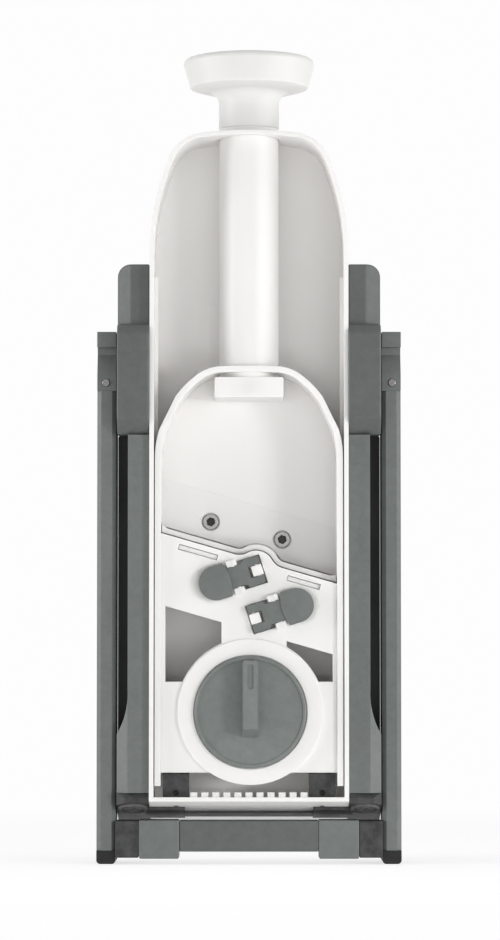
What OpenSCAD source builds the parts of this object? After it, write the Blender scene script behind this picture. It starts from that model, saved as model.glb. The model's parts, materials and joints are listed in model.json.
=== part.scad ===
// Upright mandoline slicer, folded for storage, with the plunger pressed down.
// Millimetres, +Z up. X runs across the slicer, -Y is the side where slices fall out.
// Origin: middle of the footprint, on the floor under the leg caps.
// Depths are written from the rim plane of the body and shifted once, in placed().

/* [Body] */
// Outside width of the trough
body_w = 98; // [92:0.5:106]
// Depth of the trough, rim to far face
body_d = 40; // [38:0.5:44]
// Top of the arch above the floor
body_top = 361.8; // [345:0.2:380]
// Thickness of the side walls
body_wall = 2.2; // [1.8:0.1:2.6]
// Thickness of the far wall
deck_wall = 2.5; // [2:0.1:3]
// Angle that the body leans over in use
lean = 17; // [15:0.5:19]
// Height of the soles at the rim plane
sole_z = 30.5; // [28:0.1:33]

/* [Plunger] */
// Height of the handle over its joint with the rod
handle_h = 35.1; // [31:0.1:39]
// Largest radius of the handle
handle_r = 32.5; // [28:0.1:36]
// Length of rod that shows between the arch and the handle
neck_rise = 2.5; // [2:0.1:5]
// Outer radius of the plunger rod
rod_r = 14.7; // [13.5:0.1:15.5]
// Wall of the plunger rod
rod_wall = 2.3; // [1.8:0.1:3]
// Space over the carriage that its lift leaves free
lift_rest = 18.8; // [16:0.1:30]

/* [Carriage] */
// Bottom of the carriage, plunger down
carriage_foot = 45; // [43:0.1:47]
// Rise of the cutting line over the knob axis, on the middle plane
blade_rise = 78.6; // [75:0.1:84]
// Rise of the carriage top over the cutting line
crown_rise = 91.7; // [86:0.1:98]
// Play between carriage and body at each side
carriage_gap = 0.5; // [0.35:0.05:0.7]
// Thickness of the carriage walls
carriage_wall = 3; // [2.6:0.1:3.4]
// Slope of the cutting line
blade_slope = 16.1; // [14.5:0.1:17.5]
// Thickness of the blade
blade_t = 1.2; // [0.8:0.1:1.6]

/* [Adjuster] */
// Rise of the knob axis over the carriage bottom
knob_rise = 29.7; // [28:0.1:32]
// Sideways offset of the knob axis
knob_x = 0.7; // [0:0.1:1.5]
// Radius of the knob disc
knob_r = 27.5; // [25:0.1:29]
// Width of the raised ring around the knob
ring_w = 7.7; // [6:0.1:9]
// How far the knob fin stands out before the rim
fin_reach = 11; // [8:0.5:14]
// Thickest slice
slice_max = 8; // [6:0.5:8.5]

/* [Comb levers] */
// Tilt of both levers
lever_tilt = 17.5; // [16:0.5:19]
// Distance from lever axle to comb peg
lever_arm = 11.2; // [10.2:0.1:12.2]
// Travel of a comb
comb_travel = 7; // [6.3:0.1:7.7]
// Distance between teeth of the wide comb
wide_pitch = 9; // [7:0.5:12]
// Distance between teeth of the fine comb
fine_pitch = 4.5; // [3.5:0.25:6]

/* [Legs] */
// Height of the leg hinge
pivot_z = 254; // [235:0.5:270]
// Depth of the leg hinge behind the rim
pivot_y = 20.5; // [19:0.5:22]
// Width of a leg seen from the front
leg_w = 9.4; // [8.4:0.1:12]
// Depth of a leg
leg_d = 30; // [26:0.5:34]
// Play between leg and rail
leg_gap = 0.6; // [0.4:0.1:1.2]
// Radius of the hinge pins
pin_r = 4; // [3:0.1:4.5]

/* [Feed side] */
// Inside width of the feed chute
chute_w = 72; // [64:0.5:76]
// Inside height of the feed chute
chute_h = 62; // [54:0.5:64]
// How far the chute stands out behind the body
chute_reach = 45; // [38:1:50]

/* [Hidden] */
$fn = 64;

white = [0.91, 0.91, 0.9];
milky = [0.93, 0.93, 0.92];
grey = [0.41, 0.43, 0.42];
black = [0.13, 0.13, 0.14];
steel = [0.75, 0.75, 0.76];

// Clearances
run_fit = 0.05;
slide_gap = 0.4;
side_gap = 0.3;
// Overlap of cuts and joints
eps = 1;
// How far the turn circle of an arch stands proud of its neighbours, so that the arcs cross cleanly
arc_blend = 0.05;
// How far the sectors that cut an arch's circles reach to both sides of the arc
arch_lap = 9;
arch_swell = 5;
// Longer than any piece, for cuts that run right through
reach = 400;

// Body
half_w = body_w / 2;
body_in = half_w - body_wall;
deck_y = body_d - deck_wall;
body_spring = 61.8;
body_arcs = [126, 20, 172];
underside_rise = 0.5;
bottom_wall = 2;
rib_h = 1.7;
rib_t = 3;
rib_y = 14;
rib_foot = 60;
rib_rest = 71.8;
lug_n = 11;
lug_pitch = 5.4;
lug_w = 3.4;
lug_y0 = 2;
lug_y1 = 4.5;
lug_rise = 2.9;
panel_t = 0.6;
panel_half = 20.2;
panel_top = 33.5;
panel_turn = 10.4;
panel_drop = 8;
panel_r = 11.6;
panel_flare = panel_r - sqrt(panel_r * panel_r - panel_turn * panel_turn);

// Rails, brackets and feet
rail_w = 16;
rail_out = half_w + rail_w;
rail_waist = 5.4;
rail_waist_y = 22;
rail_waist_z = 28.8;
rail_flare = 19.7;
rail_flare_r = (rail_waist * rail_waist + rail_flare * rail_flare) / (2 * rail_waist);
rail_edge = 10.6;
rail_lip = 3.5;
rail_nose = 2.4;
rail_turn = 6;
rail_rest = 3;
rail_back = body_d - rail_rest;
foot_h = 4.5;
rail_foot = sole_z + foot_h;
rail_core_y = 29;
rail_core_end = 6;
rail_core_n = 4;
rail_core_wall = 2.5;
bracket_drop = 43;
bracket_head = 11.5;
bracket_rise = 41.6;
bracket_z0 = pivot_z - bracket_drop;
bracket_step = pivot_z + bracket_head;
bracket_top = pivot_z + bracket_rise;
bracket_out = 3;
bracket_cut = 8;
bracket_ease = 4.5;
tab_front = 5;
tab_panel = 9;
tab_bevel = 4.5;
tab_round = 6;
pin_seat = 4;
foot_front = 1.5;
foot_back = body_d - foot_front;
foot_ease = 2.4;
foot_turn = 3.5;
pad_r = 7.2;
pad_t = 1.2;
pad_seat = 1;
pad_groove = [4.6, 5.5];
pad_groove_t = 0.5;
pad_s = 9.7;
pad_x = half_w + rail_w / 2;
screw_head_r = 2.6;
screw_head_t = 1;
screw_core_r = 1.3;
screw_core_l = 7;
screw_key_r = 1.3;
screw_key_t = 0.7;
screw_play = 0.2;
strip_l = 17.4;
strip_x = half_w - strip_l;
strip_s0 = 9.5;
strip_s1 = 25;
strip_lap = 2;
base_s0 = 17.2;
base_t = 0.6;
bumper_w = 13.7;
bumper_in = 10.9;
bumper_x = body_in - bumper_in;
bumper_y0 = 3;
bumper_y1 = 15;
bumper_draft = 0.8;
bumper_chin = 7;
bumper_s = 9;
bumper_seat = 7;
bumper_nose = 1;
bumper_head = 1.6;
bumper_grip = 0.7;
bumper_eye_r = 1.5;
bumper_eye_t = 2.5;
bumper_eye_rise = 3;

// Legs
leg_in = rail_out + leg_gap;
leg_out = leg_in + leg_w;
leg_y0 = 8;
leg_y1 = leg_y0 + leg_d;
leg_edge = 2;
leg_cap_h = 6.7;
cap_ease = 1.5;
cap_plug = 8;
cap_wall = 1.8;
cap_round = 2;
hinge_end_l = 21;
hinge_end_z = pivot_z - hinge_end_l;
barrel_r = 8.5;
barrel_neck = 6.8;
hinge_shoulder = 8;
hinge_heel = 4;
knuckle_out = 2;
knuckle_z0 = 0.5;
knuckle_drop = 0.4;
button_r = 2;
button_rise = 0.6;
button_rise_z = 4;
button_side = 4.4;
button_seat = 2;
pin_dimple = 1;
pin_rim = 1.2;
bar_y0 = 6;
bar_y1 = 20;
bar_low = 0.5;
bar_z0 = leg_cap_h - bar_low;
bar_room = 3;
bar_z1 = sole(bar_y1) - bar_room;
core_in = 1.5;
grip_l = 11.6;
sleeve_l = 19.7;
sleeve_x1 = leg_in - grip_l;
sleeve_x0 = sleeve_x1 - sleeve_l;
sleeve_drop = 3.5;
sleeve_skin = 0.3;
grip_drop = 3;
button_x = leg_out - button_side;
button_z = hinge_end_z + button_rise_z;

// Carriage
carriage_half = body_in - carriage_gap;
carriage_in = carriage_half - carriage_wall;
carriage_front = 1;
heel_drop = 6.5;
heel_y = 12;
knob_z = carriage_foot + knob_rise;
blade_z = knob_z + blade_rise;
carriage_top = blade_z + crown_rise;
carriage_spring = 46;
carriage_arcs = [52, 22, 300];
deck_gap = 1;
blade_y = deck_y - deck_gap;
floor_t = 3.5;
floor_y = blade_y - floor_t;
floor_step = 0.4;
floor_edge = 1.3;
groove_h = rib_h - carriage_gap + side_gap;
blade_band = 24;
blade_lap = 9;
blade_edge = 0.4;
blade_bevel = 3;
blade_rest = 1;
blade_side = 0.6;
blade_x = carriage_in - blade_side;
// Screws of the blade: along the cutting line and over it
screw_pts = [[-22.8, 9.9], [14, 11.3]];
screw_r = 3.9;
screw_shank = 2;
screw_t = 1.8;
socket_r = 2.2;
socket_t = 1.3;
sink_t = 1.1;
sink_gap = 0.6;

// Plunger
stroke = body_top - carriage_top - lift_rest;
rod_shift = 0.25;
rod_y = deck_y / 2 + rod_shift;
rod_in = rod_r - rod_wall;
neck_z = body_top + neck_rise;
handle_top = neck_z + handle_h;
handle_rim = 2.5;
handle_band = 11.9;
handle_taper = 3.2;
handle_dish = 2.2;
handle_fillet = 6;
handle_skin = 3;
neck_step = 0.3;
neck_r = rod_r + neck_step;
spigot_h = 9;
spigot_r = rod_in + rod_wall / 2;
clip_side = 2.3;
clip_wall = 1;
clip_drop = 5.5;
clip_h = 10;
clip_w = 2 * (rod_r + clip_side);
clip_front = rod_y - rod_r - clip_wall;
clip_z1 = carriage_top - clip_drop;
clip_z0 = clip_z1 - clip_h;
clip_floor = 2.5;
clip_round = 1;
rod_foot = clip_z0 + clip_floor;
anchor_rise = 2.5;
anchor_z = carriage_top + stroke + anchor_rise;
anchor_t = 3.5;
anchor_gap = 1.6;
anchor_r = rod_in - anchor_gap;
anchor_post = 5;
finger_w = 6;
finger_gap = 0.7;
slot_w = finger_w + 2 * finger_gap;

// Adjuster plate
plate_y0 = 3;
plate_y1 = 5.5;
ring_y = 1.2;
knob_gap = 0.5;
ring_r = knob_r + knob_gap + ring_w;
lip_t = 2.4;
lip_gap = 0.7;
// Bump of the lip over the wide comb lever: along the cutting line and over it
bump_u = 5.7;
bump_v = -7;
bump_r = 12;
bump_blend = 6;
bump_side = sqrt(pow(bump_r + bump_blend, 2) - pow(bump_blend - bump_v, 2));
curl_r = 6;
curl_out = 2;
window_drop = 37;
window_foot = 14.8;
window_side = 2.2;
window_x = carriage_in - window_side;
window_in = [-13.5, 18.5];
window_ring = 0.8;
knob_front = -1.5;
knob_rim = 0.9;
knob_ease = 0.8;
knob_dish = 0.5;
fin_w = 8.2;
fin_tip_w = 7;
fin_rest = [14.6, 1.9];
fin_foot = knob_r - fin_rest[0];
fin_head = knob_r - fin_rest[1];
fin_rake = [4.6, 1];
fin_round = 3;
fin_spare = 0.2;
mark_w = 3;
mark_z = [11.2, 23.2];
mark_t = 0.8;
mark_round = 1.3;
shaft_r = 6;
shaft_y = 9;
shaft_wall = 3;
core_r = 4;
core_seat = 6;
ear_t = 3;
ear_u = 5;
ear_out = 1.9;
seat_sink = 1.4;

// Runway plate
runway_t = 2.5;
runway_y = blade_y - runway_t;
runway_half = carriage_in - slide_gap;
runway_gap = 1;
runway_foot = carriage_foot + carriage_wall + runway_gap;
runway_skin = 1.2;
flange_y = 9;
boss_r = 8;
boss_gap = 3;
boss_y = shaft_y + slice_max + boss_gap;
core_gap = 0.9;
core_y = blade_y - runway_skin - slice_max - core_gap;
post_r = 2;
post_gap = 0.6;
post_end = runway_y - slice_max - post_gap;
post_side = 7;
post_rise = 9;
post_x = carriage_in - post_side;
post_z = carriage_foot + post_rise;
post_boss_r = 4.6;

// Levers and combs
wide_drop = 12.5;
fine_drop = 29.4;
wide_waist = [-6.6, blade_z - wide_drop];
fine_waist = [13.8, blade_z - fine_drop];
waist_w = 10.4;
waist_u = 6;
tab_w = 17;
tab_u = 10;
tab_neck = 2.6;
tab_turn = 22;
tab_dome = 40;
fork_w = 13.8;
fork_u = 4.8;
fork_tip = 2.5;
fork_end = lever_arm + fork_tip;
fork_slot = 5.9;
fork_round = 1.4;
fork_room = 0.4;
fork_open_u = ear_u / 2 + slide_gap;
fork_open_end = 0.7;
slot_room = 4;
pin_slot_room = 1.3;
slot_u = lever_arm - slot_room;
pin_slot_u = lever_arm - pin_slot_room;
lever_y = 1.2;
lever_t = 3.4;
axle_r = 1.5;
axle_l = waist_w + 2 * (side_gap + ear_t);
peg_w = 5.2;
peg_out = 1.4;
peg_pin_r = 0.8;
peg_pin_l = 10;
pin_room = 0.5;
comb_gap = 0.5;
comb_bar_t = 3.5;
comb_bar_y1 = runway_y - slice_max - comb_travel - comb_gap;
comb_bar_y0 = comb_bar_y1 - comb_bar_t;
comb_bar_w = 4;
comb_side = 4.8;
comb_post_side = 6.8;
comb_half = carriage_in - comb_side;
comb_post_x = carriage_in - comb_post_side;
comb_eye_r = 4;
comb_stem = 8;
tooth_t = 0.8;
tooth_rest = 0.2;
tooth_y = blade_y - tooth_rest - comb_travel;
tooth_rake = 3;
tooth_gap = 0.35;
wide_off = -7.1;
fine_off = -13.8;
tooth_end = 2;
wide_teeth = 2 * floor((comb_half - tooth_end) / wide_pitch) + 1;
fine_teeth = 2 * floor((comb_post_x - comb_eye_r) / fine_pitch) + 1;
tab_x = [-24, 30];
tab_len = [19.4, 16.4];
tab_t = 2.2;
tab_gap = 0.25;
tab_sink = 1.6;
tab_guide = 1.8;
guide_gap = 0.5;

// Feed side
chute_rise = 43.7;
chute_z = blade_z + chute_rise;
chute_round = 6;
chute_wall = 2;
chute_foot = 2.5;
chute_foot_t = 2;
chute_bead = 1.2;
chute_bead_t = 3;
chute_end = body_d + chute_reach;
pusher_gap = 0.4;
pusher_wall = 2;
pusher_in = 14;
pusher_stop = 0.5;
pusher_face = body_d + pusher_in;
pusher_flange_y = chute_end + pusher_stop;
pusher_flange_t = 2.5;
pusher_lap = 3.5;
grip_reach = 7;
grip_d = 22;
grip_h = 12;
grip_round = 4;
spike_x = [-24, -8, 8, 24];
spike_z = [-18, 0, 18];
spike_r = 1.6;
spike_tip = 0.4;
spike_l = 4;
spike_seat = 0.5;
pusher_end = pusher_flange_y + pusher_flange_t + grip_reach;

// The handle or the fin reaches furthest to the front
front_reach = max(fin_reach, handle_r - rod_y);
y_mid = (pusher_end - front_reach) / 2;

// Return spring
wire_r = 0.7;
coil_gap_r = 3.4;
coil_r = rod_in - coil_gap_r;
coil_n = 21;
coil_rings = 8;
coil_sides = 6;
coil_z0 = anchor_z + anchor_t + wire_r;
coil_z1 = handle_top - handle_skin - wire_r;
coil_pts = [for (i = [0 : coil_n * coil_rings]) coil_point(i)];
coil_gap = min([for (i = [0 : len(coil_pts) - 1 - coil_rings])
  for (k = [coil_rings - 2 : coil_rings + 2])
    if (i + k < len(coil_pts)) norm(coil_pts[i + k] - coil_pts[i]) ]) - 2 * wire_r;
echo(spring_self_gap = coil_gap);

// Helpers

// Shifts depths counted from the rim plane into the frame of the object.
module placed() {
  translate([0, -y_mid, 0]) children();
}

// Extrudes a front view (X, Z) between two depths.
module plate(y0, y1) {
  translate([0, y1, 0]) rotate([90, 0, 0]) linear_extrude(height = y1 - y0) children();
}

// Extrudes a side view (depth, Z) between two X values.
module slab(x0, x1) {
  translate([x0, 0, 0]) rotate([90, 0, 90]) linear_extrude(height = x1 - x0) children();
}

// Extrudes a top view (X, depth) between two heights.
module rise(z0, z1) {
  translate([0, 0, z0]) linear_extrude(height = z1 - z0) children();
}

// A box given by its two corners.
module block(a, b) {
  translate(a) cube(b - a);
}

// Both halves of a symmetric pair.
module both() {
  children();
  mirror([1, 0, 0]) children();
}

module rounded(x0, z0, x1, z1, r) {
  translate([x0 + r, z0]) square([x1 - x0 - 2 * r, z1 - z0]);
  translate([x0, z0 + r]) square([x1 - x0, z1 - z0 - 2 * r]);
  for (x = [x0 + r, x1 - r]) {
    for (z = [z0 + r, z1 - r]) {
      translate([x, z]) circle(r = r);
    }
  }
}

// Inner corner filled up to a quarter circle; the corner lies at the origin, the fill at +X and -Z.
module fillet(r) {
  difference() {
    translate([-eps, -r]) square([r + eps, r + eps]);
    translate([r, -r]) circle(r = r + arc_blend);
  }
}

// Height of the sole plane and of the floor of the trough at a depth.
function sole(y) = sole_z - y * tan(lean);
function floor_in(y) = sole(y) + underside_rise + bottom_wall / cos(lean);

// Frame that lies on the slanted soles.
module on_sole() {
  translate([0, 0, sole_z]) rotate([-lean, 0, 0]) children();
}

// Frame along the cutting line: X along it, Z square to it.
module along_blade() {
  translate([0, 0, blade_z]) rotate([0, blade_slope, 0]) children();
}

// The same frame in a front view.
module blade_view() {
  translate([0, blade_z]) rotate(-blade_slope) children();
}

// Front view of a band beside the cutting line.
module band(z0, z1) {
  blade_view() translate([-reach / 2, z0]) square([reach, z1 - z0]);
}

// Arch of three radii with straight sides; every arc runs into the next one.
function arch_meet(a, ra, b, rb) =
  let (d = norm(b - a), e = (b - a) / d, m = (ra * ra - rb * rb + d * d) / (2 * d))
  a + m * e + sqrt(ra * ra - m * m) * [-e[1], e[0]];

module arch(w, z0, zs, zt, radii, inset) {
  a = [w - radii[0], zs];
  b = [0, zt - radii[2]];
  p = arch_meet(a, radii[0] - radii[1], b, radii[2] - radii[1]);
  u = (p - a) / norm(p - a);
  v = (p - b) / norm(p - b);
  t1 = a + u * (radii[0] - inset);
  t2 = b + v * (radii[2] - inset);
  wi = w - inset;
  polygon([[-wi, z0], [wi, z0], [wi, zs], t1, t2, [-t2[0], t2[1]], [-t1[0], t1[1]], [-wi, zs]]);
  for (s = [0, 1]) {
    mirror([s, 0]) {
      intersection() {
        translate(a) circle(r = radii[0] - inset, $fn = 128);
        polygon([[wi - arch_lap, zs], [wi + arch_swell, zs], t1 + arch_swell * u, t1 - arch_lap * u]);
      }
      translate(p) circle(r = radii[1] - inset + arc_blend);
    }
  }
  intersection() {
    translate(b) circle(r = radii[2] - inset, $fn = 128);
    polygon([t2 - arch_lap * v, t2 + arch_swell * v, [0, zt + arch_lap],
      [-t2[0] - arch_swell * v[0], t2[1] + arch_swell * v[1]],
      [-t2[0] + arch_lap * v[0], t2[1] - arch_lap * v[1]]]);
  }
}

module body_outline(inset) {
  arch(half_w, -2 * inset, body_top - body_spring, body_top, body_arcs, inset);
}

module carriage_outline(inset) {
  arch(carriage_half, carriage_foot + inset, carriage_top - carriage_spring, carriage_top,
    carriage_arcs, inset);
}

// Outline under the cutting line with the round bump over the comb lever.
module under_line(off) {
  band(-reach, off);
  blade_view() {
    translate([bump_u, bump_v]) circle(r = bump_r + off);
    for (s = [-1, 1]) {
      difference() {
        polygon([[bump_u, bump_v], [bump_u + s * bump_side, bump_blend],
          [bump_u + s * bump_side, off - eps]]);
        translate([bump_u + s * bump_side, bump_blend]) circle(r = bump_blend - off + arc_blend);
      }
    }
  }
}

// Frame of a comb lever: X towards the fork, Z along the axle, origin on the axle.
module lever_frame(at, turn) {
  translate([at[0], lever_y, at[1]]) rotate([0, -lever_tilt - turn, 0]) children();
}

// The same shape in the frames of both levers.
module at_levers() {
  lever_frame(wide_waist, 0) children();
  lever_frame(fine_waist, 180) children();
}

// Cylinder along the depth.
module pin_y(x, z, y0, y1, r) {
  translate([x, y1, z]) rotate([90, 0, 0]) cylinder(r = r, h = y1 - y0);
}

// Cylinder across the slicer.
module pin_x(y, z, x0, x1, r) {
  translate([x0, y, z]) rotate([0, 90, 0]) cylinder(r = r, h = x1 - x0);
}

// Housing

module body_shell() {
  color(white) placed() difference() {
    union() {
      difference() {
        plate(0, body_d) body_outline(0);
        slab(-body_w, body_w) under_sole(underside_rise);
        difference() {
          plate(-eps, deck_y) body_outline(body_wall);
          slab(-body_w, body_w) under_sole(underside_rise + bottom_wall / cos(lean));
        }
      }
      both() block([body_in - rib_h, rib_y, rib_foot],
        [body_in + body_wall / 2, rib_y + rib_t, body_top - rib_rest]);
      plate(deck_y - panel_t, deck_y + eps) far_panel();
      for (i = [0 : lug_n - 1]) {
        x = (i - (lug_n - 1) / 2) * lug_pitch;
        block([x - lug_w / 2, lug_y0, floor_in(lug_y1) - eps],
          [x + lug_w / 2, lug_y1, floor_in(lug_y0) + lug_rise]);
      }
    }
    plate(deck_y - eps, body_d + eps) chute_bore(0);
    translate([0, rod_y, body_top - body_spring]) cylinder(r = rod_r + slide_gap, h = 2 * body_spring);
    both() bumper_hole();
  }
}

module under_sole(up) {
  polygon([[-body_d, sole(-body_d) + up], [-body_d, -body_d], [2 * body_d, -body_d],
    [2 * body_d, sole(2 * body_d) + up]]);
}

// Front view of the raised panel on the far wall, which flares out over the carriage.
module far_panel() {
  wide = panel_half + panel_flare;
  translate([-panel_half, carriage_top - panel_drop]) square([2 * panel_half, panel_top + panel_drop]);
  translate([-wide, carriage_top - panel_drop]) square([2 * wide, panel_drop]);
  for (s = [0, 1]) {
    mirror([s, 0]) difference() {
      translate([0, carriage_top - eps]) square([wide, panel_turn + eps]);
      translate([panel_half + panel_r, carriage_top + panel_turn]) circle(r = panel_r + arc_blend);
    }
  }
}

module chute_bore(grow) {
  rounded(-chute_w / 2 - grow, chute_z - chute_h / 2 - grow,
    chute_w / 2 + grow, chute_z + chute_h / 2 + grow, chute_round + grow);
}

module feed_chute() {
  color(white) placed() difference() {
    union() {
      plate(body_d, chute_end) chute_bore(chute_wall);
      plate(body_d, body_d + chute_foot_t) chute_bore(chute_wall + chute_foot);
      plate(chute_end - chute_bead_t, chute_end) chute_bore(chute_wall + chute_bead);
    }
    plate(body_d - eps, chute_end + eps) chute_bore(0);
  }
}

module rail_section() {
  polygon([[half_w, rail_lip], [half_w + rail_edge, rail_nose], [rail_out, rail_turn],
    [rail_out, rail_back], [half_w, rail_back]]);
}

module side_rail() {
  core_l = (bracket_z0 - rail_foot - rail_core_end) / rail_core_n;
  waist_z = rail_foot + rail_waist_z + rail_flare;
  waist_x = rail_out - rail_waist;
  color(grey) placed() difference() {
    rise(rail_foot, bracket_z0) rail_section();
    plate(-eps, rail_waist_y) {
      translate([waist_x, waist_z]) square([rail_waist + eps, bracket_z0 - waist_z + eps]);
      translate([waist_x + rail_flare_r, waist_z]) circle(r = rail_flare_r + arc_blend, $fn = 128);
    }
    for (i = [0 : rail_core_n - 1]) {
      block([half_w + rail_core_wall, rail_core_y, rail_foot + rail_core_end + i * core_l],
        [rail_out - rail_core_wall, body_d, rail_foot + (i + 1) * core_l]);
    }
  }
}

module left_side_rail() {
  mirror([1, 0, 0]) side_rail();
}

module right_side_rail() {
  side_rail();
}

module hinge_bracket() {
  color(grey) placed() difference() {
    union() {
      slab(half_w, rail_out) polygon([[-bracket_out, bracket_z0 + bracket_cut],
        [bracket_cut - bracket_out, bracket_z0], [rail_back, bracket_z0], [rail_back, bracket_step],
        [bracket_ease - bracket_out, bracket_step], [-bracket_out, bracket_step - bracket_ease]]);
      intersection() {
        rise(bracket_step - eps, bracket_top) polygon([[half_w, tab_front], [half_w + tab_panel, tab_front],
          [rail_out, tab_front + tab_bevel], [rail_out, rail_back - tab_front],
          [half_w, rail_back - tab_front]]);
        plate(0, body_d) bracket_tab();
      }
    }
    pin_x(pivot_y, pivot_z, half_w + pin_seat, rail_out + eps, pin_r);
  }
}

module bracket_tab() {
  r = tab_round;
  tall = bracket_top - bracket_step + 2 * eps;
  translate([half_w - eps, bracket_step - 2 * eps]) {
    square([rail_w + eps, tall - r]);
    square([rail_w + eps - r, tall]);
  }
  translate([rail_out - r, bracket_top - r]) circle(r = r);
}

module left_hinge_bracket() {
  mirror([1, 0, 0]) hinge_bracket();
}

module right_hinge_bracket() {
  hinge_bracket();
}

module corner_foot() {
  color(black) placed() difference() {
    union() {
      intersection() {
        slab(half_w, rail_out) polygon([[foot_front, sole(foot_front)], [foot_back, sole(foot_back)],
          [foot_back, rail_foot], [foot_front + foot_ease, rail_foot], [foot_front, rail_foot - foot_ease]]);
        rise(0, rail_foot + eps) polygon([[half_w - eps, 0], [half_w + rail_edge, foot_front - eps],
          [rail_out + eps, foot_front + foot_turn], [rail_out + eps, body_d], [half_w - eps, body_d]]);
      }
      on_sole() block([strip_x, strip_s0, -pad_t],
        [half_w + strip_lap, strip_s1, underside_rise * cos(lean)]);
    }
    on_sole() translate([pad_x, pad_s, 0]) {
      translate([0, 0, -pad_t - eps]) cylinder(r = pad_r, h = pad_t + pad_seat + eps);
      cylinder(r = screw_core_r + run_fit, h = screw_core_l + eps);
    }
  }
}

module left_corner_foot() {
  mirror([1, 0, 0]) corner_foot();
}

module right_corner_foot() {
  corner_foot();
}

module foot_pads() {
  color(black) placed() both() on_sole() translate([pad_x, pad_s, -pad_t]) difference() {
    cylinder(r = pad_r, h = pad_t + pad_seat);
    translate([0, 0, -eps]) {
      cylinder(r = screw_head_r + screw_play, h = pad_t + eps);
      cylinder(r = screw_core_r + run_fit, h = pad_t + pad_seat + 2 * eps);
      difference() {
        cylinder(r = pad_groove[1], h = pad_groove_t + eps);
        cylinder(r = pad_groove[0], h = pad_groove_t + eps);
      }
    }
  }
}

module foot_screws() {
  color(steel) placed() both() on_sole() translate([pad_x, pad_s, 0]) difference() {
    union() {
      translate([0, 0, -screw_head_t]) cylinder(r = screw_head_r, h = screw_head_t);
      cylinder(r = screw_core_r, h = screw_core_l);
    }
    translate([0, 0, -screw_head_t - eps]) cylinder(r = screw_key_r, h = screw_key_t + eps, $fn = 6);
  }
}

module base_strip() {
  color(black) placed() on_sole()
    block([-strip_x, base_s0, -base_t], [strip_x, strip_s1, underside_rise * cos(lean)]);
}

module bumper() {
  x0 = bumper_x - bumper_w / 2;
  x1 = bumper_x + bumper_w / 2;
  top = carriage_foot - slide_gap;
  color(black) placed() difference() {
    intersection() {
      slab(x0, x1) polygon([[bumper_y0 + bumper_nose, floor_in(bumper_y0 + bumper_nose)],
        [bumper_y1, floor_in(bumper_y1)], [bumper_y1, top], [bumper_y0, top],
        [bumper_y0 - bumper_nose, top - bumper_chin]]);
      plate(0, body_d) polygon([[x0 + bumper_draft, 0], [x1 - bumper_draft, 0],
        [x1, 2 * top], [x0, 2 * top]]);
    }
    bumper_hole();
    pin_y(bumper_x, floor_in(bumper_y0) + bumper_eye_rise, 0, bumper_y0 + bumper_eye_t, bumper_eye_r);
    bumper_axis() translate([0, 0, bumper_seat]) cylinder(r = screw_head_r + screw_play, h = carriage_foot);
  }
}

// Axis of the screw that holds a bumper down.
module bumper_axis() {
  on_sole() translate([bumper_x, bumper_s, 0]) children();
}

module bumper_hole() {
  bumper_axis() translate([0, 0, -2 * eps]) cylinder(r = screw_core_r + run_fit, h = 2 * bumper_seat);
}

module left_bumper() {
  mirror([1, 0, 0]) bumper();
}

module right_bumper() {
  bumper();
}

module bumper_screws() {
  color(steel) placed() both() bumper_axis() difference() {
    union() {
      translate([0, 0, bumper_seat]) cylinder(r = screw_head_r, h = bumper_head);
      translate([0, 0, bumper_grip]) cylinder(r = screw_core_r, h = bumper_seat - bumper_grip + eps / 2);
    }
    translate([0, 0, bumper_seat + bumper_head - screw_key_t])
      cylinder(r = screw_key_r, h = screw_key_t + eps, $fn = 6);
  }
}

module hinge_pins() {
  color(steel) placed() both() difference() {
    pin_x(pivot_y, pivot_z, half_w + pin_seat, leg_out, pin_r);
    pin_x(pivot_y, pivot_z, leg_out - pin_dimple, leg_out + eps, pin_r - pin_rim);
  }
}

module spring_anchor() {
  pin = coil_r * cos(180 / coil_rings) - wire_r - slide_gap;
  color(white) placed() {
    block([-finger_w / 2, rod_y, anchor_z], [finger_w / 2, deck_y, anchor_z + anchor_t]);
    translate([0, rod_y, anchor_z]) {
      cylinder(r = anchor_r, h = anchor_t);
      cylinder(r = pin, h = anchor_t + anchor_post);
    }
  }
}

// Leg frame

module leg_hinge_end() {
  cheek = barrel_neck;
  color(grey) placed() difference() {
    slab(leg_in, leg_out) {
      polygon([[leg_y0, hinge_end_z], [leg_y1, hinge_end_z], [leg_y1, hinge_end_z + hinge_heel],
        [pivot_y + cheek, pivot_z], [pivot_y - cheek, pivot_z], [leg_y0, hinge_end_z + hinge_shoulder]]);
      translate([pivot_y, pivot_z]) circle(r = barrel_r);
      translate([leg_y0 - knuckle_out, pivot_z + knuckle_z0])
        square([pivot_y - leg_y0 + knuckle_out, barrel_r - knuckle_drop - knuckle_z0]);
    }
    pin_x(pivot_y, pivot_z, leg_in - eps, leg_out + eps, pin_r + run_fit);
    pin_y(button_x, button_z, leg_y0 - eps, leg_y0 + button_seat, button_r);
  }
}

module left_leg_hinge_end() {
  mirror([1, 0, 0]) leg_hinge_end();
}

module right_leg_hinge_end() {
  leg_hinge_end();
}

module leg_section(inset) {
  polygon([[leg_in + leg_edge, leg_y0 + inset], [leg_out - leg_edge, leg_y0 + inset],
    [leg_out - inset, leg_y0 + leg_edge], [leg_out - inset, leg_y1 - leg_edge],
    [leg_out - leg_edge, leg_y1 - inset], [leg_in + leg_edge, leg_y1 - inset],
    [leg_in + inset, leg_y1 - leg_edge], [leg_in + inset, leg_y0 + leg_edge]]);
}

module leg_tube() {
  color(grey) placed() difference() {
    rise(leg_cap_h, hinge_end_z) leg_section(0);
    rise(leg_cap_h - eps, leg_cap_h + cap_plug + slide_gap) leg_section(cap_wall);
  }
}

module left_leg_tube() {
  mirror([1, 0, 0]) leg_tube();
}

module right_leg_tube() {
  leg_tube();
}

module leg_buttons() {
  color(steel) placed() both()
    pin_y(button_x, button_z, leg_y0 - button_rise, leg_y0 + button_seat, button_r);
}

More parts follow.
